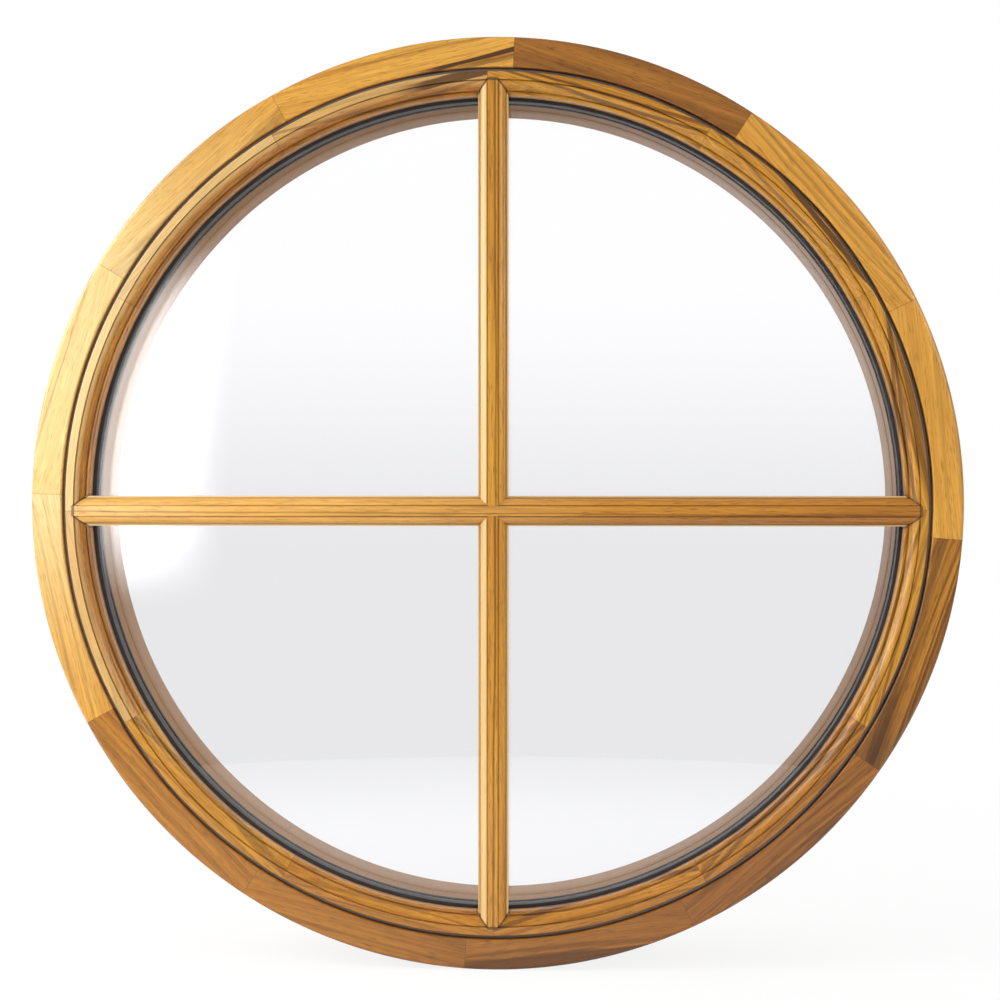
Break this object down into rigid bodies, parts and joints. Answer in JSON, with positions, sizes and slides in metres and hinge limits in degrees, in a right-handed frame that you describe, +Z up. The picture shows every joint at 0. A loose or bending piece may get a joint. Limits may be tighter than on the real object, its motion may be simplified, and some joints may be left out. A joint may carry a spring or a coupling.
{
  "type": "round window",
  "caption": "Round fixed timber window: a segmented wood frame and a moulded sash around a sealed glass unit, with a cross of glazing bars on its front.",
  "frame": {"origin": "on the window's axis, halfway through the frame's depth", "axes": "+Y along the axis towards the rear, front face towards -Y, +Z up, +X to the right seen from the front"},
  "size_m": [0.61, 0.088, 0.61],
  "materials": {
    "frame_teak": "oiled and varnished, satin",
    "sash_teak": "oiled and varnished, satin",
    "bar_teak": "oiled and varnished, satin",
    "bead_teak": "oiled, matt",
    "joint_beech": "bare",
    "seal_rubber": "extruded, matt",
    "bedding_foam": "closed cell, brown",
    "gasket_rubber": "extruded, satin",
    "window_glass": "clear, polished",
    "spacer_plastic": "black, matt",
    "edge_sealant": "cured, matt",
    "block_plastic": "moulded, matt",
    "pin_steel": "bright drawn wire",
    "screw_steel": "stainless, turned",
    "bonding_tape": "foam tape, matt"
  },
  "bodies": {
    "root": {"frame_segment_01": "frame_teak", "frame_segment_02": "frame_teak", "frame_segment_03": "frame_teak", "frame_segment_04": "frame_teak", "frame_segment_05": "frame_teak", "frame_segment_06": "frame_teak", "frame_segment_07": "frame_teak", "frame_segment_08": "frame_teak", "frame_segment_09": "frame_teak", "frame_segment_10": "frame_teak", "frame_segment_11": "frame_teak", "frame_segment_12": "frame_teak", "sash_segment_01": "sash_teak", "sash_segment_02": "sash_teak", "sash_segment_03": "sash_teak", "sash_segment_04": "sash_teak", "sash_segment_05": "sash_teak", "sash_segment_06": "sash_teak", "sash_segment_07": "sash_teak", "sash_segment_08": "sash_teak", "sash_segment_09": "sash_teak", "sash_segment_10": "sash_teak", "sash_segment_11": "sash_teak", "sash_segment_12": "sash_teak", "glazing_bead_01": "bead_teak", "glazing_bead_02": "bead_teak", "glazing_bead_03": "bead_teak", "glazing_bead_04": "bead_teak", "horizontal_bar": "bar_teak", "vertical_bar_upper": "bar_teak", "vertical_bar_lower": "bar_teak", "frame_tongues": "joint_beech", "sash_tongues": "joint_beech", "end_dowels": "joint_beech", "crossing_dowel": "joint_beech", "perimeter_seal": "seal_rubber", "bedding_seal": "bedding_foam", "front_gasket": "gasket_rubber", "rear_gasket": "gasket_rubber", "front_pane": "window_glass", "rear_pane": "window_glass", "spacer": "spacer_plastic", "edge_sealant": "edge_sealant", "setting_blocks": "block_plastic", "bead_pins": "pin_steel", "sash_screws": "screw_steel", "screw_plugs": "frame_teak", "bar_tapes": "bonding_tape"}
  },
  "joints": []
}
